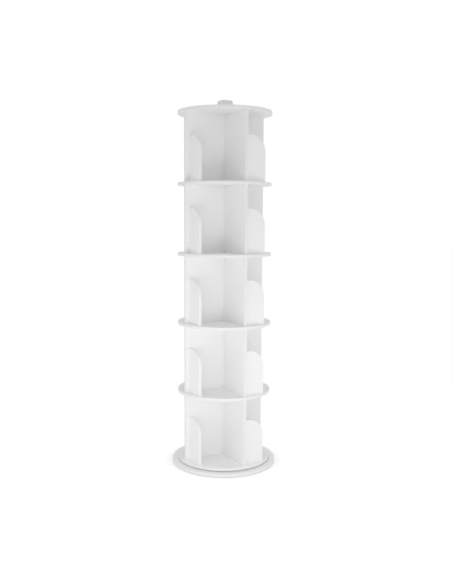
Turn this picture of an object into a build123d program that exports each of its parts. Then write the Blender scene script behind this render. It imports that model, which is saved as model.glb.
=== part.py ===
"""Revolving bookcase: a round tower of five open tiers that turns on a ball bearing over a flat base.

Millimetres, +Z up. The origin is the centre of the base, on the floor.
"""
from build123d import *
import math
import os

# Tower layout
TIER_COUNT = 5
WALLS_PER_TIER = 4
TIER_PITCH = 300.0
DISC_DIAMETER = 405.0
DISC_THICKNESS = 12.0

# Base on the floor
BASE_DIAMETER = 455.0
BASE_THICKNESS = 15.0
PAD_COUNT = 6
PAD_WIDTH = 24.0
PAD_HEIGHT = 2.0
PAD_EDGE_INSET = 12.0

# Cross walls: four boards round a square channel for the tie rod
WALL_RIM_INSET = 12.5
WALL_THICKNESS = 12.0

# Low rounded divider that stands across the outer end of each wall
DIVIDER_END_INSET = 18.0
DIVIDER_LENGTH = 94.0
DIVIDER_HEIGHT = 190.0
DIVIDER_THICKNESS = 12.0
DIVIDER_CORNER = 70.0

# Grooves in the discs that the walls and dividers stand in
GROOVE_DEPTH = 3.0
GROOVE_CLEARANCE = 0.15

# Ball bearing between base and tower, let into a round seat in the base board
BEARING_GAP = 4.0
SEAT_DEPTH = 3.0
SEAT_CLEARANCE = 2.0
RACE_RADIUS = 76.0
BALL_COUNT = 12
BALL_DIAMETER = 4.0
RACE_CLEARANCE = 0.06
RING_SPACING = 1.8
RING_LIFT = 1.0
INNER_RING_WIDTH = 16.0
OUTER_RING_WIDTH = 20.0
CAGE_HEIGHT = 4.6
CAGE_THICKNESS = 1.0
CAGE_BALL_CLEARANCE = 0.15
ACCESS_HOLE_DIAMETER = 12.0
ACCESS_HOLE_ANGLE = 45.0

# Tie rod that clamps the stack, with its square nut below and its hand knob on top
ROD_DIAMETER = 8.0
ROD_HOLE_CLEARANCE = 0.5
THREAD_CLEARANCE = 0.05
ROD_END_GAP = 1.0
ROD_PROTRUSION = 2.0
NUT_WIDTH = 13.0
NUT_THICKNESS = 4.0
NUT_CLEARANCE = 0.1

KNOB_HEIGHT = 47.0
KNOB_LOBES = 4
KNOB_LOBE_RADIUS = 13.5
KNOB_LOBE_CENTRE = 24.5
KNOB_VALLEY_RADIUS = 24.0
KNOB_TOP_SHARE = 0.76
KNOB_SHOULDER_SHARES = (0.83, 0.93)
KNOB_BELT_SHARE = 0.46
KNOB_NECK_RADIUS = 14.0
KNOB_BORE_DEPTH = 20.0
KNOB_TURN_ANGLE = 45.0

# Cuts run this far past the faces that they open
OVERRUN = 1.0
FULL_TURN = 360.0

# Heights, from the floor up
BASE_TOP = PAD_HEIGHT + BASE_THICKNESS
SEAT_LEVEL = BASE_TOP - SEAT_DEPTH
BEARING_HEIGHT = SEAT_DEPTH + BEARING_GAP
TOWER_BOTTOM = BASE_TOP + BEARING_GAP
TOP_DISC_BOTTOM = TOWER_BOTTOM + TIER_COUNT * TIER_PITCH
TOP_DISC_TOP = TOP_DISC_BOTTOM + DISC_THICKNESS

# Plan of one tier, outward from the axis
WALL_START = WALL_THICKNESS / 2
WALL_REACH = DISC_DIAMETER / 2 - WALL_RIM_INSET
DIVIDER_START = WALL_REACH - DIVIDER_END_INSET - DIVIDER_THICKNESS

STANDING = (Align.CENTER, Align.CENTER, Align.MIN)
HANGING = (Align.CENTER, Align.CENTER, Align.MAX)
OUTWARD = (Align.MIN, Align.CENTER, Align.MIN)

ROD_HOLE_RADIUS = ROD_DIAMETER / 2 + ROD_HOLE_CLEARANCE
THREAD_RADIUS = ROD_DIAMETER / 2 + THREAD_CLEARANCE


def around(shape, count, start=0.0, height=0.0):
    """Copies of a shape, evenly turned about the tower's axis and lifted to a height."""
    turns = [start + turn * FULL_TURN / count for turn in range(count)]
    return [Pos(0, 0, height) * Rot(Z=angle) * shape for angle in turns]


def turned(points):
    """A solid of revolution about the tower's axis, from an outline in (radius, height)."""
    outline = Plane.XZ * make_face(Polyline(*points, close=True))
    return revolve(outline, Axis.Z)


def hole(radius, depth, radial_place=0.0):
    """A vertical cutter that starts just above height zero and goes down by its depth."""
    cutter = Cylinder(radius, depth + OVERRUN, align=HANGING)
    return Pos(radial_place, 0, OVERRUN) * cutter


# Base


def base_board():
    """The fixed round board, with the bearing's seat and a hole to reach the outer ring's screws."""
    board = Cylinder(BASE_DIAMETER / 2, BASE_THICKNESS, align=STANDING)
    seat_radius = RACE_RADIUS + OUTER_RING_WIDTH + SEAT_CLEARANCE
    board -= Pos(0, 0, BASE_THICKNESS) * hole(seat_radius, SEAT_DEPTH)
    access_radius = RACE_RADIUS + OUTER_RING_WIDTH / 2
    access = hole(ACCESS_HOLE_DIAMETER / 2, BASE_THICKNESS + OVERRUN, access_radius)
    board -= Pos(0, 0, BASE_THICKNESS) * Rot(Z=ACCESS_HOLE_ANGLE) * access
    return Pos(0, 0, PAD_HEIGHT) * board


def base_pads():
    """Square glide pads under the rim of the base."""
    radius = BASE_DIAMETER / 2 - PAD_EDGE_INSET - PAD_WIDTH / 2
    pad = Pos(radius, 0, 0) * Box(PAD_WIDTH, PAD_WIDTH, PAD_HEIGHT, align=STANDING)
    return Compound(children=around(pad, PAD_COUNT))


# Ball bearing: an inner ring on the base, an outer ring under the tower, balls between the two


def ring_section(side, width, bottom):
    """A ring's section with a V groove at 45 degrees in its race face, on one side of the balls."""
    top = bottom + BEARING_HEIGHT - RING_LIFT
    face = RING_SPACING / 2
    groove_floor = math.sqrt(2) * (BALL_DIAMETER / 2 + RACE_CLEARANCE)
    half_mouth = groove_floor - face
    depths_and_heights = [
        (face, bottom),
        (face, BEARING_HEIGHT / 2 - half_mouth),
        (groove_floor, BEARING_HEIGHT / 2),
        (face, BEARING_HEIGHT / 2 + half_mouth),
        (face, top),
        (width, top),
        (width, bottom),
    ]
    return [(RACE_RADIUS + side * depth, height) for depth, height in depths_and_heights]


def bearing_inner_ring():
    """The ring screwed to the base, clear of the tower above it."""
    return Pos(0, 0, SEAT_LEVEL) * turned(ring_section(-1, INNER_RING_WIDTH, 0))


def bearing_outer_ring():
    """The ring screwed to the tower, clear of the base below it and locked to the inner by the balls."""
    return Pos(0, 0, SEAT_LEVEL) * turned(ring_section(1, OUTER_RING_WIDTH, RING_LIFT))


def bearing_cage():
    """A thin upright band between the rings, with a square pocket for each ball."""
    inner = RACE_RADIUS - CAGE_THICKNESS / 2
    band = Cylinder(inner + CAGE_THICKNESS, CAGE_HEIGHT) - Cylinder(inner, CAGE_HEIGHT)
    pocket_width = BALL_DIAMETER + 2 * CAGE_BALL_CLEARANCE
    pocket = Pos(RACE_RADIUS, 0, 0) * Box(CAGE_THICKNESS + OVERRUN, pocket_width, pocket_width)
    return Pos(0, 0, SEAT_LEVEL + BEARING_HEIGHT / 2) * (band - around(pocket, BALL_COUNT))


def bearing_balls():
    """The balls, each cut in flats from a cube, whose slanted flats run on the sides of the grooves."""
    flat = BALL_DIAMETER / (1 + math.sqrt(2))
    cube = Box(BALL_DIAMETER, BALL_DIAMETER, BALL_DIAMETER)
    ball = chamfer(cube.edges(), (BALL_DIAMETER - flat) / 2)
    ball = Pos(RACE_RADIUS, 0, SEAT_LEVEL + BEARING_HEIGHT / 2) * ball
    return Compound(children=around(ball, BALL_COUNT))


# Upright boards


def wall():
    """A cross wall along +X that runs into the grooves above and below it."""
    height = TIER_PITCH - DISC_THICKNESS + 2 * GROOVE_DEPTH
    board = Box(WALL_REACH - WALL_START, WALL_THICKNESS, height, align=OUTWARD)
    return Pos(WALL_START, 0, -GROOVE_DEPTH) * board


def divider():
    """A low board across the end of the +X wall, its free top corner rounded in one large arc."""
    outline = Rectangle(DIVIDER_LENGTH, DIVIDER_HEIGHT + GROOVE_DEPTH, align=(Align.MIN, Align.MIN))
    free_corner = outline.vertices().group_by(Axis.Y)[-1].sort_by(Axis.X)[-1]
    outline = Pos(WALL_START, -GROOVE_DEPTH) * fillet(free_corner, DIVIDER_CORNER)
    return Pos(DIVIDER_START, 0, 0) * extrude(Plane.YZ * outline, DIVIDER_THICKNESS)


# Round shelves


def wall_grooves(height):
    """The cross-shaped groove for a tier's walls, from this height up."""
    length = WALL_REACH + GROOVE_CLEARANCE
    groove = Box(length, WALL_THICKNESS + 2 * GROOVE_CLEARANCE, GROOVE_DEPTH, align=OUTWARD)
    return around(groove, WALLS_PER_TIER, height=height)


def divider_grooves(height):
    """The grooves for a tier's dividers, which branch off the walls' cross, from this height up."""
    length = WALL_START + DIVIDER_LENGTH + GROOVE_CLEARANCE
    width = DIVIDER_THICKNESS + 2 * GROOVE_CLEARANCE
    groove = Box(width, length, GROOVE_DEPTH, align=(Align.MIN, Align.MIN, Align.MIN))
    groove = Pos(DIVIDER_START - GROOVE_CLEARANCE, 0, 0) * groove
    return around(groove, WALLS_PER_TIER, height=height)


def shelf_disc(level):
    """A round shelf, grooved on top for the tier above it and below for the tier under it."""
    disc = Cylinder(DISC_DIAMETER / 2, DISC_THICKNESS, align=STANDING)
    if level < TIER_COUNT:
        groove_floor = DISC_THICKNESS - GROOVE_DEPTH
        disc -= wall_grooves(groove_floor) + divider_grooves(groove_floor)
    if level > 0:
        disc -= wall_grooves(0)
    disc -= Pos(0, 0, DISC_THICKNESS) * hole(ROD_HOLE_RADIUS, DISC_THICKNESS + OVERRUN)
    return Pos(0, 0, TOWER_BOTTOM + level * TIER_PITCH) * disc


def bottom_disc():
    """The lowest shelf, with a square pocket below that keeps the nut from turning."""
    width = NUT_WIDTH + 2 * NUT_CLEARANCE
    return shelf_disc(0) - Pos(0, 0, TOWER_BOTTOM) * Box(width, width, NUT_THICKNESS, align=STANDING)


# Tie rod, nut and hand knob


def tie_rod():
    """The long rod through the middle of the tower, from the nut up into the knob."""
    bottom = TOWER_BOTTOM - ROD_PROTRUSION
    top = TOP_DISC_TOP + KNOB_BORE_DEPTH - ROD_END_GAP
    return Pos(0, 0, bottom) * Cylinder(ROD_DIAMETER / 2, top - bottom, align=STANDING)


def tie_rod_nut():
    """The square nut let into the underside of the bottom disc."""
    nut = Box(NUT_WIDTH, NUT_WIDTH, NUT_THICKNESS, align=STANDING)
    nut -= Cylinder(THREAD_RADIUS, NUT_THICKNESS, align=STANDING)
    return Pos(0, 0, TOWER_BOTTOM) * nut


def at_angle(radius, angle):
    """The point at a radius and an angle about the axis."""
    return Vector(radius, 0, 0).rotate(Axis.Z, angle)


def knob_outline():
    """The star outline: round lobes, joined by hollow arcs that run smoothly into them."""
    half_pitch = FULL_TURN / KNOB_LOBES / 2
    inset = KNOB_VALLEY_RADIUS - KNOB_LOBE_RADIUS
    across = KNOB_LOBE_CENTRE * math.cos(math.radians(half_pitch)) - inset
    valley_centre = (KNOB_LOBE_CENTRE**2 - inset**2) / (2 * across)
    share = KNOB_LOBE_RADIUS / (valley_centre - inset)
    arcs = []
    for turn in range(KNOB_LOBES):
        angle = KNOB_TURN_ANGLE + turn * 2 * half_pitch
        lobe = at_angle(KNOB_LOBE_CENTRE, angle)
        before = lobe + (at_angle(valley_centre, angle - half_pitch) - lobe) * share
        after = lobe + (at_angle(valley_centre, angle + half_pitch) - lobe) * share
        tip = at_angle(KNOB_LOBE_CENTRE + KNOB_LOBE_RADIUS, angle)
        valley = at_angle(KNOB_VALLEY_RADIUS, angle + half_pitch)
        arcs.append(ThreePointArc(before, tip, after))
        arcs.append(ThreePointArc(after, valley, before.rotate(Axis.Z, 2 * half_pitch)))
    return make_face(arcs)


def knob_section():
    """Half of the knob's upright section: neck, flat underside, tapered grip and broad flat top."""
    reach = KNOB_LOBE_CENTRE + KNOB_LOBE_RADIUS
    underside = KNOB_BELT_SHARE * KNOB_HEIGHT
    return [
        (0, 0),
        (KNOB_NECK_RADIUS, 0),
        (KNOB_NECK_RADIUS, underside),
        (reach, underside),
        (KNOB_SHOULDER_SHARES[0] * reach, KNOB_SHOULDER_SHARES[1] * KNOB_HEIGHT),
        (KNOB_TOP_SHARE * reach, KNOB_HEIGHT),
        (0, KNOB_HEIGHT),
    ]


def knob():
    """The lobed hand knob: its outline run up through the turned section, with the rod's bore."""
    body = turned(knob_section()) & extrude(knob_outline(), KNOB_HEIGHT)
    body -= Cylinder(THREAD_RADIUS, KNOB_BORE_DEPTH, align=STANDING)
    return Pos(0, 0, TOP_DISC_TOP) * body


def bookcase():
    """Every piece of the bookcase under its own name."""
    pieces = {
        "base_board": base_board(),
        "base_pads": base_pads(),
        "bearing_inner_ring": bearing_inner_ring(),
        "bearing_outer_ring": bearing_outer_ring(),
        "bearing_cage": bearing_cage(),
        "bearing_balls": bearing_balls(),
        "bottom_disc": bottom_disc(),
        "top_disc": shelf_disc(TIER_COUNT),
        "tie_rod": tie_rod(),
        "tie_rod_nut": tie_rod_nut(),
        "knob": knob(),
    }
    for level in range(1, TIER_COUNT):
        pieces[f"shelf_disc_{level}"] = shelf_disc(level)
    walls = around(wall(), WALLS_PER_TIER)
    dividers = around(divider(), WALLS_PER_TIER)
    for tier in range(TIER_COUNT):
        floor = Pos(0, 0, TOWER_BOTTOM + DISC_THICKNESS + tier * TIER_PITCH)
        for side in range(WALLS_PER_TIER):
            pieces[f"tier_{tier + 1}_wall_{side + 1}"] = floor * walls[side]
            pieces[f"tier_{tier + 1}_divider_{side + 1}"] = floor * dividers[side]
    return pieces


os.makedirs("parts", exist_ok=True)
for name, piece in bookcase().items():
    piece.label = name
    export_step(piece, f"parts/{name}.step")
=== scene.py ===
"""A round white book tower that turns on a ball bearing over a flat base, dressed for the picture."""

import math

import bpy
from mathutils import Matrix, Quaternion, Vector


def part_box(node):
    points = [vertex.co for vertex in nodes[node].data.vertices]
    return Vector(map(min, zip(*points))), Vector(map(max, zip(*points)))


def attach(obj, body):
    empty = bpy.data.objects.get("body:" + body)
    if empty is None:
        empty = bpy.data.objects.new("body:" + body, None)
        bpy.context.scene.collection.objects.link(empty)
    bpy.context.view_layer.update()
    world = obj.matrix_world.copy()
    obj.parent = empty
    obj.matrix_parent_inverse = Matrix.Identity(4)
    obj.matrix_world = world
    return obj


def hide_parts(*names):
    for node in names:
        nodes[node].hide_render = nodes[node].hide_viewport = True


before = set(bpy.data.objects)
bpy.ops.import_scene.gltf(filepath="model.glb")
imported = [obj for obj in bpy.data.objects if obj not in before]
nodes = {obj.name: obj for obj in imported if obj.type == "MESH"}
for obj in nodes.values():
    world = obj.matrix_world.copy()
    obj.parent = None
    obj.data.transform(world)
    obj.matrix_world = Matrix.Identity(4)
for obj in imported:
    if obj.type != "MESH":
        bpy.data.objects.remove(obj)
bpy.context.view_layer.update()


# Base board
# The fixed foot of the tower is a 15 mm disc of fibreboard, with a shallow round seat milled into
# its top for the bearing. Its edges are eased with a small round cutter, and it is sprayed all over
# with white satin lacquer.

MM = 0.001
BASE_REACH = 227.5 * MM
EASED_EDGE = 0.9 * MM
SHARP_EDGE = math.radians(40)
OPEN_SEAM = 0.01 * MM
# The look of the sawn edge begins this far inside the rim, and is whole at the second distance.
SAWN_EDGE_BEGINS = 1.2 * MM
SAWN_EDGE_WHOLE = 0.6 * MM


def linear(hex_colour):
    """The linear colour, with alpha, of an sRGB hex value."""
    channels = [int(hex_colour[at : at + 2], 16) / 255 for at in (1, 3, 5)]
    low = [c / 12.92 if c <= 0.04045 else ((c + 0.055) / 1.055) ** 2.4 for c in channels]
    return (*low, 1.0)


def add(tree, kind, inputs=None, **settings):
    """Adds a node with its settings. Its inputs are given as values or as the sockets that feed them."""
    made = tree.nodes.new(kind)
    for name, value in settings.items():
        setattr(made, name, value)
    for key, value in (inputs or {}).items():
        if isinstance(value, bpy.types.NodeSocket):
            tree.links.new(value, made.inputs[key])
        else:
            made.inputs[key].default_value = value
    return made


def new_material(name):
    """An empty material and its node tree."""
    material = bpy.data.materials.new(name)
    material.use_nodes = True
    material.node_tree.nodes.clear()
    return material, material.node_tree


def dress(names, material):
    """Gives a material to CAD nodes."""
    for name in names:
        nodes[name].data.materials[0] = material


def ease_edges(names, width):
    """Rounds the sharp edges of CAD nodes, whose meshes come with open seams between their faces."""
    for name in names:
        seams = nodes[name].modifiers.new("closed_seams", "WELD")
        seams.merge_threshold = OPEN_SEAM
        eased = nodes[name].modifiers.new("eased_edges", "BEVEL")
        eased.width = width
        eased.segments = 3
        eased.limit_method = "ANGLE"
        eased.angle_limit = SHARP_EDGE
        eased.use_clamp_overlap = False
        eased.harden_normals = True


def lacquered_fibreboard(name, rim):
    """Satin lacquer over fibreboard. Past the rim's radius it covers the board's sawn edge."""
    # The lacquer gives an even, soft sheen over a faint orange peel. On the sawn edge the board's
    # layers drink more of it, so fine lines run along the edge and it is a little duller there.
    material, tree = new_material(name)
    place = add(tree, "ShaderNodeTexCoord").outputs["Object"]
    parts = add(tree, "ShaderNodeSeparateXYZ", {"Vector": place})
    level = add(tree, "ShaderNodeCombineXYZ", {"X": parts.outputs["X"], "Y": parts.outputs["Y"]})
    radius = add(tree, "ShaderNodeVectorMath", {0: level.outputs[0]}, operation="LENGTH")
    edge = add(
        tree,
        "ShaderNodeMapRange",
        {
            "Value": radius.outputs["Value"],
            "From Min": rim - SAWN_EDGE_BEGINS,
            "From Max": rim - SAWN_EDGE_WHOLE,
        },
    )
    # Coats of paint vary slowly, over about 150 mm.
    coats = add(tree, "ShaderNodeTexNoise", {"Vector": place, "Scale": 1 / (150 * MM), "Detail": 2.0})
    # Real peel is about 1 mm across. It is drawn at 3 mm, because finer grain would not show.
    peel = add(tree, "ShaderNodeTexNoise", {"Vector": place, "Scale": 1 / (3 * MM), "Detail": 3.0})
    # The pressed layers are about 0.3 mm thick and are drawn at 0.8 mm for the same reason.
    stretch = add(
        tree,
        "ShaderNodeMapping",
        {"Vector": place, "Scale": (1 / (60 * MM), 1 / (60 * MM), 1 / (0.8 * MM))},
    )
    layers = add(tree, "ShaderNodeTexNoise", {"Vector": stretch.outputs[0], "Scale": 1.0, "Detail": 4.0})
    face_tone = add(
        tree,
        "ShaderNodeMix",
        {0: coats.outputs["Fac"], 6: linear("#FAFAFA"), 7: linear("#FDFDFD")},
        data_type="RGBA",
    )
    edge_tone = add(
        tree,
        "ShaderNodeMix",
        {0: layers.outputs["Fac"], 6: linear("#F4F4F3"), 7: linear("#F9F9F8")},
        data_type="RGBA",
    )
    tone = add(
        tree,
        "ShaderNodeMix",
        {0: edge.outputs[0], 6: face_tone.outputs[2], 7: edge_tone.outputs[2]},
        data_type="RGBA",
    )
    face_sheen = add(
        tree,
        "ShaderNodeMapRange",
        {"Value": peel.outputs["Fac"], "To Min": 0.36, "To Max": 0.46},
    )
    sheen = add(
        tree,
        "ShaderNodeMix",
        {0: edge.outputs[0], 2: face_sheen.outputs[0], 3: 0.52},
        data_type="FLOAT",
    )
    relief = add(
        tree,
        "ShaderNodeMix",
        {0: edge.outputs[0], 2: peel.outputs["Fac"], 3: layers.outputs["Fac"]},
        data_type="FLOAT",
    )
    bump = add(
        tree,
        "ShaderNodeBump",
        {"Height": relief.outputs[0], "Strength": 0.35, "Distance": 0.05 * MM},
    )
    surface = add(
        tree,
        "ShaderNodeBsdfPrincipled",
        {
            "Base Color": tone.outputs[2],
            "Roughness": sheen.outputs[0],
            "Normal": bump.outputs[0],
            "IOR": 1.48,
        },
    )
    add(tree, "ShaderNodeOutputMaterial", {"Surface": surface.outputs[0]})
    return material


base_lacquer = lacquered_fibreboard("satin_lacquered_fibreboard_base", BASE_REACH)
dress(["base_board"], base_lacquer)
ease_edges(["base_board"], EASED_EDGE)


# Glide pads
# Six square pads of grey cellular rubber, cut from sheet and glued under the rim of the base. They
# level the foot and keep it from sliding.

PAD_EASED_EDGE = 0.4 * MM

rubber, tree = new_material("cellular_rubber")
place = add(tree, "ShaderNodeTexCoord").outputs["Object"]
# Cut cells give the eye a dull, finely pitted grey. Cells of 0.5 mm are drawn at 1 mm to show.
cells = add(tree, "ShaderNodeTexVoronoi", {"Vector": place, "Scale": 1 / (1.0 * MM)})
dust = add(tree, "ShaderNodeTexNoise", {"Vector": place, "Scale": 1 / (12 * MM), "Detail": 3.0})
tone = add(
    tree,
    "ShaderNodeMix",
    {0: dust.outputs["Fac"], 6: linear("#4A4A4A"), 7: linear("#5E5E5D")},
    data_type="RGBA",
)
pits = add(
    tree,
    "ShaderNodeBump",
    {"Height": cells.outputs["Distance"], "Strength": 0.6, "Distance": 0.2 * MM},
)
surface = add(
    tree,
    "ShaderNodeBsdfPrincipled",
    {"Base Color": tone.outputs[2], "Roughness": 0.85, "Normal": pits.outputs[0], "IOR": 1.52},
)
add(tree, "ShaderNodeOutputMaterial", {"Surface": surface.outputs[0]})
dress(["base_pads"], rubber)
ease_edges(["base_pads"], PAD_EASED_EDGE)


# Bearing rings
# An inner ring on the base and an outer ring under the tower, both turned from aluminium, with a
# V groove in the faces that meet. The outer ring hangs the tower on the balls.

aluminium, tree = new_material("turned_aluminium")
place = add(tree, "ShaderNodeTexCoord").outputs["Object"]
# The tool leaves fine circles round the axis, which stretch each highlight into a fan. A feed of
# 0.15 mm is drawn at 0.5 mm to show.
parts = add(tree, "ShaderNodeSeparateXYZ", {"Vector": place})
level = add(tree, "ShaderNodeCombineXYZ", {"X": parts.outputs["X"], "Y": parts.outputs["Y"]})
radius = add(tree, "ShaderNodeVectorMath", {0: level.outputs[0]}, operation="LENGTH")
across = add(
    tree,
    "ShaderNodeCombineXYZ",
    {"X": radius.outputs["Value"], "Z": parts.outputs["Z"]},
)
circles = add(
    tree,
    "ShaderNodeTexNoise",
    {"Vector": across.outputs[0], "Scale": 1 / (0.5 * MM), "Detail": 2.0},
)
cloud = add(tree, "ShaderNodeTexNoise", {"Vector": place, "Scale": 1 / (18 * MM), "Detail": 3.0})
tone = add(
    tree,
    "ShaderNodeMix",
    {0: cloud.outputs["Fac"], 6: linear("#D0D1D3"), 7: linear("#DEDFE0")},
    data_type="RGBA",
)
sheen = add(
    tree,
    "ShaderNodeMapRange",
    {"Value": circles.outputs["Fac"], "To Min": 0.24, "To Max": 0.42},
)
lines = add(
    tree,
    "ShaderNodeBump",
    {"Height": circles.outputs["Fac"], "Strength": 0.5, "Distance": 0.06 * MM},
)
surface = add(
    tree,
    "ShaderNodeBsdfPrincipled",
    {
        "Base Color": tone.outputs[2],
        "Metallic": 1.0,
        "Roughness": sheen.outputs[0],
        "Normal": lines.outputs[0],
    },
)
add(tree, "ShaderNodeOutputMaterial", {"Surface": surface.outputs[0]})
dress(["bearing_inner_ring", "bearing_outer_ring"], aluminium)


# Ring screws
# Each ring is held by four small countersunk wood screws with a cross recess, zinc plated. Their
# heads stand a hair proud of the ring, and the base's round hole lets a driver reach the outer four.

SCREW_HEAD = 3.8 * MM
SCREW_PROUD = 0.25 * MM
SCREW_RIM = 0.25 * MM
SCREW_CROWN = 0.12 * MM
SCREW_SIDES = 24
# The cross recess: the crown round its arms, its depth, how narrow it is between the arms and how
# much smaller its floor is.
CROSS_INSET = 1.2 * MM
CROSS_DEPTH = 1.3 * MM
CROSS_WAIST = 0.42
CROSS_FLOOR = 0.55
RING_SCREWS = 4
INNER_SCREW_REACH = 67.0 * MM
OUTER_SCREW_REACH = 86.0 * MM

zinc, tree = new_material("zinc_plated_steel")
place = add(tree, "ShaderNodeTexCoord").outputs["Object"]
# Clear passivated zinc is a cool grey with a cloudy, half-bright sheen, its crystals about 2 mm.
crystals = add(tree, "ShaderNodeTexVoronoi", {"Vector": place, "Scale": 1 / (2 * MM)})
cloud = add(tree, "ShaderNodeTexNoise", {"Vector": place, "Scale": 1 / (9 * MM), "Detail": 4.0})
tone = add(
    tree,
    "ShaderNodeMix",
    {0: cloud.outputs["Fac"], 6: linear("#B9BDC1"), 7: linear("#CDD0D2")},
    data_type="RGBA",
)
sheen = add(
    tree,
    "ShaderNodeMapRange",
    {"Value": crystals.outputs["Distance"], "To Min": 0.26, "To Max": 0.40},
)
pits = add(
    tree,
    "ShaderNodeBump",
    {"Height": crystals.outputs["Distance"], "Strength": 0.2, "Distance": 0.05 * MM},
)
surface = add(
    tree,
    "ShaderNodeBsdfPrincipled",
    {
        "Base Color": tone.outputs[2],
        "Metallic": 1.0,
        "Roughness": sheen.outputs[0],
        "Normal": pits.outputs[0],
    },
)
add(tree, "ShaderNodeOutputMaterial", {"Surface": surface.outputs[0]})


def start_editing(piece):
    """Opens a mesh for editing, with nothing selected in it."""
    bpy.context.view_layer.objects.active = piece
    bpy.ops.object.mode_set(mode="EDIT")
    bpy.ops.mesh.select_mode(type="FACE")
    bpy.ops.mesh.select_all(action="DESELECT")
    bpy.ops.object.mode_set(mode="OBJECT")


def pick_faces(piece, wanted):
    """Selects the faces that pass a test on their centre and normal, and goes on editing."""
    bpy.ops.object.mode_set(mode="OBJECT")
    for face in piece.data.polygons:
        face.select = wanted(face.center, face.normal)
    bpy.ops.object.mode_set(mode="EDIT")
    bpy.ops.mesh.select_mode(type="FACE")


def pick_points(piece, wanted):
    """Selects the vertices that pass a test on their place, and goes on editing."""
    bpy.ops.object.mode_set(mode="EDIT")
    bpy.ops.mesh.select_mode(type="VERT")
    bpy.ops.mesh.select_all(action="DESELECT")
    bpy.ops.object.mode_set(mode="OBJECT")
    for point in piece.data.vertices:
        point.select = wanted(point.co)
    bpy.ops.object.mode_set(mode="EDIT")


def start_piece(name):
    """Names the new primitive and takes its place into its mesh."""
    piece = bpy.context.active_object
    piece.name = name
    piece.data.name = name
    bpy.ops.object.transform_apply(location=True, rotation=True, scale=True)
    return piece


def end_piece(piece, material, body):
    """Smooths, dresses and hands over a finished piece."""
    bpy.ops.object.mode_set(mode="OBJECT")
    bpy.ops.object.shade_smooth_by_angle(angle=math.radians(35))
    piece.data.materials.clear()
    piece.data.materials.append(material)
    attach(piece, body)


def copy_piece(piece, name):
    """A copy of a piece with a mesh of its own, alone selected."""
    bpy.ops.object.select_all(action="DESELECT")
    piece.select_set(True)
    bpy.context.view_layer.objects.active = piece
    bpy.ops.object.duplicate(linked=False)
    twin = bpy.context.active_object
    twin.name = name
    twin.data.name = name
    return twin


bpy.ops.object.select_all(action="DESELECT")
bpy.ops.mesh.primitive_cylinder_add(
    vertices=SCREW_SIDES,
    radius=SCREW_HEAD,
    depth=2 * SCREW_PROUD,
    location=(0, 0, 0),
)
screw = start_piece("screw_head")
start_editing(screw)
# The top is raised to a low crown and inset, and the inner ring is pulled into a cross.
pick_faces(screw, lambda centre, normal: normal.z > 0.9)
bpy.ops.mesh.inset(thickness=SCREW_RIM)
bpy.ops.transform.translate(value=(0, 0, SCREW_CROWN))
bpy.ops.mesh.inset(thickness=CROSS_INSET)
bpy.ops.object.mode_set(mode="OBJECT")


def between_arms(point):
    """True for the inner ring's points that lie away from the two arms of the cross."""
    arms_end = SCREW_HEAD - SCREW_RIM - CROSS_INSET
    inner = math.hypot(point.x, point.y) < arms_end + 0.1 * MM
    turn = math.degrees(math.atan2(point.y, point.x)) % 90
    return inner and 20 < turn < 70


pick_points(screw, between_arms)
bpy.ops.transform.resize(value=(CROSS_WAIST, CROSS_WAIST, 1), center_override=(0, 0, 0))
# The cross is sunk for the driver, and its floor is drawn in.
pick_faces(
    screw,
    lambda centre, normal: normal.z > 0.9 and math.hypot(centre.x, centre.y) < 0.2 * MM,
)
bpy.ops.mesh.extrude_region_move(TRANSFORM_OT_translate={"value": (0, 0, -CROSS_DEPTH)})
bpy.ops.transform.resize(value=(CROSS_FLOOR, CROSS_FLOOR, 1), center_override=(0, 0, 0))
bpy.ops.object.mode_set(mode="OBJECT")


def ring_screws(ring, facing, reach, body):
    """Copies of the head round one ring, at its top face for facing 1 and at its underside for -1."""
    low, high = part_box(ring)
    surface = high.z if facing > 0 else low.z
    for number in range(RING_SCREWS):
        angle = math.radians(45 + 360 / RING_SCREWS * number)
        head = copy_piece(screw, f"{ring}_screw_{number + 1}")
        if facing < 0:
            bpy.ops.transform.rotate(value=math.pi, orient_axis="X", center_override=(0, 0, 0))
        place = (reach * math.cos(angle), reach * math.sin(angle), surface)
        bpy.ops.transform.translate(value=place)
        bpy.ops.object.transform_apply(location=True, rotation=True, scale=True)
        end_piece(head, zinc, body)


ring_screws("bearing_inner_ring", 1, INNER_SCREW_REACH, "base")
ring_screws("bearing_outer_ring", -1, OUTER_SCREW_REACH, "tower")
bpy.data.objects.remove(screw)


# Ball cage
# A thin upright band of black nylon between the rings. It is injection moulded, with a pocket for
# each ball, and it only keeps the balls apart.

nylon, tree = new_material("moulded_black_nylon")
place = add(tree, "ShaderNodeTexCoord").outputs["Object"]
# Moulded nylon looks deep grey and slightly waxy, with a fine mould grain of about 0.4 mm.
grain = add(tree, "ShaderNodeTexNoise", {"Vector": place, "Scale": 1 / (0.4 * MM), "Detail": 2.0})
tone = add(
    tree,
    "ShaderNodeMix",
    {0: grain.outputs["Fac"], 6: linear("#1D1D1E"), 7: linear("#2A2A2B")},
    data_type="RGBA",
)
relief = add(
    tree,
    "ShaderNodeBump",
    {"Height": grain.outputs["Fac"], "Strength": 0.3, "Distance": 0.05 * MM},
)
surface = add(
    tree,
    "ShaderNodeBsdfPrincipled",
    {"Base Color": tone.outputs[2], "Roughness": 0.48, "Normal": relief.outputs[0], "IOR": 1.53},
)
add(tree, "ShaderNodeOutputMaterial", {"Surface": surface.outputs[0]})
dress(["bearing_cage"], nylon)


# Bearing balls
# Twelve 4 mm balls of hardened chrome steel, ground and lapped to a mirror. They run in the rings'
# grooves and carry the tower. Each is rounded up from a cube and stands for the node's flat-cut one.

BALL_COUNT = 12
BALL_RADIUS = 2.0 * MM
RACE_REACH = 76.0 * MM
RACE_HEIGHT = 17.5 * MM

steel, tree = new_material("lapped_bearing_steel")
place = add(tree, "ShaderNodeTexCoord").outputs["Object"]
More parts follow.
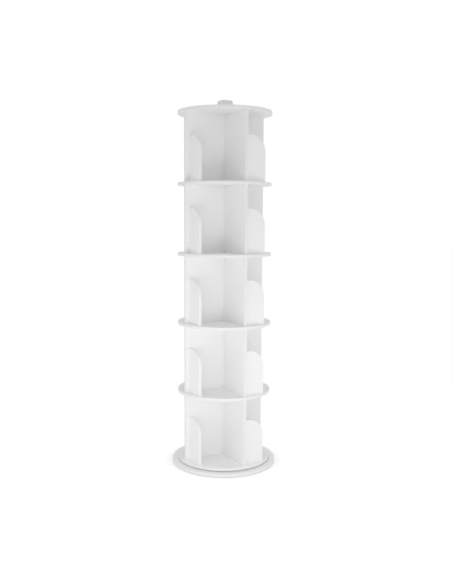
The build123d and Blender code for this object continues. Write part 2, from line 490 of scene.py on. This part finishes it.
# Lapped steel mirrors its surroundings. Running marks dull it a little in bands. They are 0.3 mm
# wide and are drawn at 0.6 mm to show.
marks = add(
    tree,
    "ShaderNodeTexNoise",
    {"Vector": place, "Scale": 1 / (0.6 * MM), "Detail": 3.0, "Distortion": 1.5},
)
sheen = add(
    tree,
    "ShaderNodeMapRange",
    {"Value": marks.outputs["Fac"], "To Min": 0.06, "To Max": 0.16},
)
tone = add(
    tree,
    "ShaderNodeMix",
    {0: marks.outputs["Fac"], 6: linear("#C4C5C7"), 7: linear("#D2D3D4")},
    data_type="RGBA",
)
surface = add(
    tree,
    "ShaderNodeBsdfPrincipled",
    {"Base Color": tone.outputs[2], "Metallic": 1.0, "Roughness": sheen.outputs[0]},
)
add(tree, "ShaderNodeOutputMaterial", {"Surface": surface.outputs[0]})

bpy.ops.object.select_all(action="DESELECT")
bpy.ops.mesh.primitive_cube_add(size=2 * BALL_RADIUS, location=(RACE_REACH, 0, RACE_HEIGHT))
balls = start_piece("bearing_balls_round")
bpy.ops.object.mode_set(mode="EDIT")
bpy.ops.mesh.select_all(action="SELECT")
bpy.ops.mesh.subdivide(number_cuts=5)
bpy.ops.transform.tosphere(value=1.0)
bpy.ops.object.mode_set(mode="OBJECT")
# Rounding the cube up leaves the ball larger than it should be, so it is sized to its radius.
middle = Vector((RACE_REACH, 0, RACE_HEIGHT))
reach = max((point.co - middle).length for point in balls.data.vertices)
size = BALL_RADIUS / reach
bpy.ops.object.mode_set(mode="EDIT")
bpy.ops.mesh.select_all(action="SELECT")
bpy.ops.transform.resize(value=(size, size, size), center_override=middle)
next_place = -2 * math.pi / BALL_COUNT
for _ in range(1, BALL_COUNT):
    # Each pass copies the last ball one place further round the race.
    bpy.ops.mesh.duplicate()
    bpy.ops.transform.rotate(
        value=next_place, orient_axis="Z", center_override=(0, 0, RACE_HEIGHT)
    )
bpy.ops.object.mode_set(mode="OBJECT")
end_piece(balls, steel, "ball_cage")
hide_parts("bearing_balls")


# Shelf discs
# Five round boards of 12 mm fibreboard carry the tiers. Each has a cross-shaped groove above, and
# all but the lowest have one below, for the upright boards. The tie rod runs through their middle.

DISC_REACH = 202.5 * MM
SHELF_DISCS = ["bottom_disc", "shelf_disc_1", "shelf_disc_2", "shelf_disc_3", "shelf_disc_4"]

disc_lacquer = lacquered_fibreboard("satin_lacquered_fibreboard_discs", DISC_REACH)
dress(SHELF_DISCS, disc_lacquer)
ease_edges(SHELF_DISCS, EASED_EDGE)


# Cross walls
# Four upright boards in each tier meet round the tie rod and run out almost to the rim. They stand
# in the grooves, and only the rod's pull holds them there. Their edges are left square, so that
# they close up tight where their inner corners meet.

WALL_REACH = 190.0 * MM
TIERS = range(1, 6)
SIDES = range(1, 5)
WALLS = [f"tier_{tier}_wall_{side}" for tier in TIERS for side in SIDES]

wall_lacquer = lacquered_fibreboard("satin_lacquered_fibreboard_walls", WALL_REACH)
dress(WALLS, wall_lacquer)


# Low dividers
# A low board stands across the outer end of each wall and keeps the books from sliding out. Its
# free top corner is sawn in one large arc, and its edges are eased and lacquered like the rest.

DIVIDERS = [f"tier_{tier}_divider_{side}" for tier in TIERS for side in SIDES]
DIVIDER_CORNER_REACH = 199.5 * MM

divider_lacquer = lacquered_fibreboard(
    "satin_lacquered_fibreboard_dividers", DIVIDER_CORNER_REACH
)
dress(DIVIDERS, divider_lacquer)
ease_edges(DIVIDERS, EASED_EDGE)


# Top disc
# The topmost board closes the last tier, and is sawn and lacquered like the shelf discs. It is
# grooved only below, and the knob bears on its top.

dress(["top_disc"], disc_lacquer)
ease_edges(["top_disc"], EASED_EDGE)


# Tie rod and nut
# A long 8 mm rod of zinc-plated steel runs up through the channel between the walls. It is threaded
# and screws into a square nut in the bottom disc and into the knob on top.

THREAD_PITCH = 1.25 * MM
NUT_EASED_EDGE = 0.4 * MM

thread, tree = new_material("zinc_plated_thread")
place = add(tree, "ShaderNodeTexCoord").outputs["Object"]
# The rolled thread shows as even bright and dark rings, 1.25 mm apart.
parts = add(tree, "ShaderNodeSeparateXYZ", {"Vector": place})
turns = add(
    tree,
    "ShaderNodeMath",
    {0: parts.outputs["Z"], 1: 2 * math.pi / THREAD_PITCH},
    operation="MULTIPLY",
)
angle = add(
    tree,
    "ShaderNodeMath",
    {0: parts.outputs["Y"], 1: parts.outputs["X"]},
    operation="ARCTAN2",
)
helix = add(
    tree,
    "ShaderNodeMath",
    {0: turns.outputs[0], 1: angle.outputs[0]},
    operation="SUBTRACT",
)
ridge = add(tree, "ShaderNodeMath", {0: helix.outputs[0]}, operation="SINE")
cloud = add(tree, "ShaderNodeTexNoise", {"Vector": place, "Scale": 1 / (9 * MM), "Detail": 4.0})
tone = add(
    tree,
    "ShaderNodeMix",
    {0: cloud.outputs["Fac"], 6: linear("#B4B8BC"), 7: linear("#CBCED0")},
    data_type="RGBA",
)
flanks = add(
    tree,
    "ShaderNodeBump",
    {"Height": ridge.outputs[0], "Strength": 0.8, "Distance": 0.35 * MM},
)
surface = add(
    tree,
    "ShaderNodeBsdfPrincipled",
    {"Base Color": tone.outputs[2], "Metallic": 1.0, "Roughness": 0.34, "Normal": flanks.outputs[0]},
)
add(tree, "ShaderNodeOutputMaterial", {"Surface": surface.outputs[0]})
dress(["tie_rod"], thread)
dress(["tie_rod_nut"], zinc)
ease_edges(["tie_rod_nut"], NUT_EASED_EDGE)


# Hand knob
# A star grip of white ABS with four lobes, moulded in one piece with its round neck and with a
# shallow dish in its flat top. It screws down on the rod and clamps the whole stack.

KNOB_FOOT = 1533.0 * MM
KNOB_COLUMNS = 72
KNOB_LOBES = 4
KNOB_TURN = 45.0
# Rings of the knob from its foot up, in mm: reach at a lobe, height, and how deep the hollows are
# there as a share of their full depth. The last rings sink a shallow dish into the flat top.
KNOB_RINGS = [
    (13.2, 0.0, 0.0),
    (14.0, 0.6, 0.0),
    (14.0, 2.0, 0.0),
    (14.0, 19.5, 0.0),
    (14.6, 21.0, 0.0),
    (17.0, 21.55, 0.2),
    (32.5, 21.7, 0.95),
    (36.5, 22.3, 1.0),
    (38.1, 24.2, 1.0),
    (37.6, 27.5, 1.0),
    (33.4, 41.0, 1.0),
    (32.0, 44.4, 1.0),
    (29.5, 46.5, 1.0),
    (27.0, 46.95, 0.95),
    (18.0, 47.0, 0.3),
    (15.8, 46.9, 0.0),
    (15.0, 46.2, 0.0),
    (12.0, 46.1, 0.0),
]
# Reach of the star outline, as shares of the lobe's, in steps of 5 degrees from lobe to hollow.
STAR_STEP = 5
STAR_SHARES = [1.0, 0.993, 0.972, 0.936, 0.884, 0.812, 0.717, 0.664, 0.639, 0.632]
# Points this close, in height and in degrees, are taken as one ring and one column.
SAME_RING = 0.02 * MM
SAME_COLUMN = 2

plastic, tree = new_material("moulded_white_abs")
place = add(tree, "ShaderNodeTexCoord").outputs["Object"]
# A spark-eroded mould leaves an even grain that softens the highlights. It is really 0.2 mm and is
# drawn at 0.9 mm to show. The ABS is a shade greyer than the lacquer.
grain = add(tree, "ShaderNodeTexNoise", {"Vector": place, "Scale": 1 / (0.9 * MM), "Detail": 3.0})
flow = add(tree, "ShaderNodeTexNoise", {"Vector": place, "Scale": 1 / (20 * MM), "Detail": 2.0})
tone = add(
    tree,
    "ShaderNodeMix",
    {0: flow.outputs["Fac"], 6: linear("#F0F0F0"), 7: linear("#F6F6F6")},
    data_type="RGBA",
)
sheen = add(
    tree,
    "ShaderNodeMapRange",
    {"Value": grain.outputs["Fac"], "To Min": 0.38, "To Max": 0.52},
)
relief = add(
    tree,
    "ShaderNodeBump",
    {"Height": grain.outputs["Fac"], "Strength": 0.4, "Distance": 0.08 * MM},
)
surface = add(
    tree,
    "ShaderNodeBsdfPrincipled",
    {
        "Base Color": tone.outputs[2],
        "Roughness": sheen.outputs[0],
        "Normal": relief.outputs[0],
        "IOR": 1.54,
        "Subsurface Weight": 0.08,
        "Subsurface Radius": (3 * MM, 3 * MM, 3 * MM),
        "Subsurface Scale": 1.0,
    },
)
add(tree, "ShaderNodeOutputMaterial", {"Surface": surface.outputs[0]})

bpy.ops.object.select_all(action="DESELECT")
foot_reach, foot_height, _ = KNOB_RINGS[0]
next_reach, next_height, _ = KNOB_RINGS[1]
bpy.ops.mesh.primitive_cone_add(
    vertices=KNOB_COLUMNS,
    radius1=foot_reach * MM,
    radius2=next_reach * MM,
    depth=(next_height - foot_height) * MM,
    location=(0, 0, KNOB_FOOT + (foot_height + next_height) / 2 * MM),
    rotation=(0, 0, math.radians(KNOB_TURN)),
)
knob = start_piece("hand_knob")
start_editing(knob)
pick_faces(knob, lambda centre, normal: normal.z > 0.9)
for (reach, height, _), (new_reach, new_height, _) in zip(KNOB_RINGS[1:], KNOB_RINGS[2:]):
    # The top face is drawn up to the next ring and sized to it.
    rise = (new_height - height) * MM
    bpy.ops.mesh.extrude_region_move(TRANSFORM_OT_translate={"value": (0, 0, rise)})
    scale = new_reach / reach
    centre = (0, 0, KNOB_FOOT + new_height * MM)
    bpy.ops.transform.resize(value=(scale, scale, 1), center_override=centre)


def away_from_lobe(point):
    """The angle in degrees between a point and the middle of the nearest lobe."""
    lobe_span = 360 / KNOB_LOBES
    turn = math.degrees(math.atan2(point.y, point.x)) - KNOB_TURN
    return abs((turn + lobe_span / 2) % lobe_span - lobe_span / 2)


# The hollows between the lobes are pressed in, ring by ring and column by column.
for _, height, depth in KNOB_RINGS:
    ring = KNOB_FOOT + height * MM
    for step, share in enumerate(STAR_SHARES):
        if depth == 0 or share == 1:
            continue
        column = STAR_STEP * step
        pick_points(
            knob,
            lambda point: abs(point.z - ring) < SAME_RING
            and abs(away_from_lobe(point) - column) < SAME_COLUMN,
        )
        inward = 1 - depth * (1 - share)
        bpy.ops.transform.resize(value=(inward, inward, 1), center_override=(0, 0, ring))
bpy.ops.object.mode_set(mode="OBJECT")
rounded = knob.modifiers.new("moulded_rounding", "SUBSURF")
rounded.levels = 1
rounded.render_levels = 1
bpy.ops.object.modifier_apply(modifier=rounded.name)
end_piece(knob, plastic, "tower")
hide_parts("knob")


# Floor
# A plain white studio floor, matt paint on a smooth board. The camera sees it lifted to full white.
# The lift is lower close to the base, where the lamps already make the floor bright, so that the
# soft shade round the base's rim stays in sight.

FLOOR_WIDTH = 60.0
FLOOR_DROP = 0.2 * MM
BARE_LIFT = 0.39
SHADE_LIFT = 0.26
SHADE_FROM = 230 * MM
SHADE_TO = 285 * MM


def seen_straight(tree):
    """The node that is 1 where the camera sees a thing, also in a mirror or through glass."""
    path = add(tree, "ShaderNodeLightPath")
    seen_or_mirrored = add(
        tree,
        "ShaderNodeMath",
        {0: path.outputs["Is Camera Ray"], 1: path.outputs["Is Glossy Ray"]},
        operation="MAXIMUM",
    )
    return add(
        tree,
        "ShaderNodeMath",
        {0: seen_or_mirrored.outputs[0], 1: path.outputs["Is Transmission Ray"]},
        operation="MAXIMUM",
    )


floor_paint, tree = new_material("matt_white_floor_paint")
seen = seen_straight(tree)
place = add(tree, "ShaderNodeTexCoord")
reach = add(tree, "ShaderNodeVectorMath", {0: place.outputs["Object"]}, operation="LENGTH")
white = add(
    tree,
    "ShaderNodeMapRange",
    {
        "Value": reach.outputs["Value"],
        "From Min": SHADE_FROM,
        "From Max": SHADE_TO,
        "To Min": SHADE_LIFT,
        "To Max": BARE_LIFT,
    },
)
lift = add(
    tree,
    "ShaderNodeMath",
    {0: seen.outputs[0], 1: white.outputs["Result"]},
    operation="MULTIPLY",
)
glow = add(
    tree,
    "ShaderNodeEmission",
    {"Color": linear("#FFFFFF"), "Strength": lift.outputs[0]},
)
matt = add(tree, "ShaderNodeBsdfDiffuse", {"Color": linear("#FCFCFC")})
both = add(tree, "ShaderNodeAddShader", {0: glow.outputs[0], 1: matt.outputs[0]})
add(tree, "ShaderNodeOutputMaterial", {"Surface": both.outputs[0]})

bpy.ops.object.select_all(action="DESELECT")
bpy.ops.mesh.primitive_plane_add(size=FLOOR_WIDTH, location=(0, 0, -FLOOR_DROP))
floor = bpy.context.active_object
floor.name = "studio_floor"
floor.data.materials.append(floor_paint)


# Studio light
# A white room gives even light from all round. Long low softboxes stand in front, to the left and
# to the right. Their middles are no higher than the second tier, so in the tiers above it each
# shelf shades the foot of its walls.

ROOM_LIGHT = 0.627
ROOM_SEEN = 1.0

world = bpy.data.worlds.new("white_room")
bpy.context.scene.world = world
world.use_nodes = True
tree = world.node_tree
tree.nodes.clear()
seen = seen_straight(tree)
strength = add(
    tree,
    "ShaderNodeMapRange",
    {"Value": seen.outputs[0], "To Min": ROOM_LIGHT, "To Max": ROOM_SEEN},
)
room = add(
    tree,
    "ShaderNodeBackground",
    {"Color": linear("#FFFFFF"), "Strength": strength.outputs[0]},
)
add(tree, "ShaderNodeOutputWorld", {"Surface": room.outputs[0]})


def softbox(name, place, aim, size, power):
    """A square-on soft lamp that the camera doesn't see."""
    lamp = bpy.data.lights.new(name, "AREA")
    lamp.shape = "RECTANGLE"
    lamp.size, lamp.size_y = size
    lamp.energy = power
    box = bpy.data.objects.new(name, lamp)
    bpy.context.scene.collection.objects.link(box)
    box.location = place
    box.rotation_mode = "QUATERNION"
    box.rotation_quaternion = (Vector(aim) - Vector(place)).to_track_quat("-Z", "Y")
    box.visible_camera = False


softbox("front_softbox", (-0.657, -1.236, 0.50), (0, 0, 0.8), (1.4, 0.5), 3.46)
softbox("left_softbox", (-0.966, -0.259, 0.30), (0, 0, 0.9), (1.2, 0.3), 1.16)
softbox("right_softbox", (0.342, -0.940, 0.30), (0, 0, 0.9), (1.2, 0.3), 0.86)
softbox("far_right_softbox", (2.252, -1.300, 0.60), (0, 0, 0.8), (2.0, 0.8), 2.06)


# Camera
# It stands at chest height, about three metres off and 28 degrees round to the left, and looks a
# little down. Its lens is given in pixels of the photograph's frame, 452 wide and 584 high.

EYE = Vector((-1.4330, -2.6660, 1.0860))
LOOK = Vector((0.4730, 0.8745, -0.1073))
ROLL = math.radians(0.278)
LENS_PIXELS = 692.9
FRAME_HEIGHT_PIXELS = 584
SENSOR = 36.0

lens = bpy.data.cameras.new("studio_camera")
lens.sensor_width = SENSOR
lens.lens = LENS_PIXELS / FRAME_HEIGHT_PIXELS * SENSOR
camera = bpy.data.objects.new("studio_camera", lens)
bpy.context.scene.collection.objects.link(camera)
camera.location = EYE
camera.rotation_mode = "QUATERNION"
camera.rotation_quaternion = LOOK.to_track_quat("-Z", "Y") @ Quaternion((0, 0, 1), ROLL)
bpy.context.scene.camera = camera
bpy.context.scene.view_settings.view_transform = "Standard"
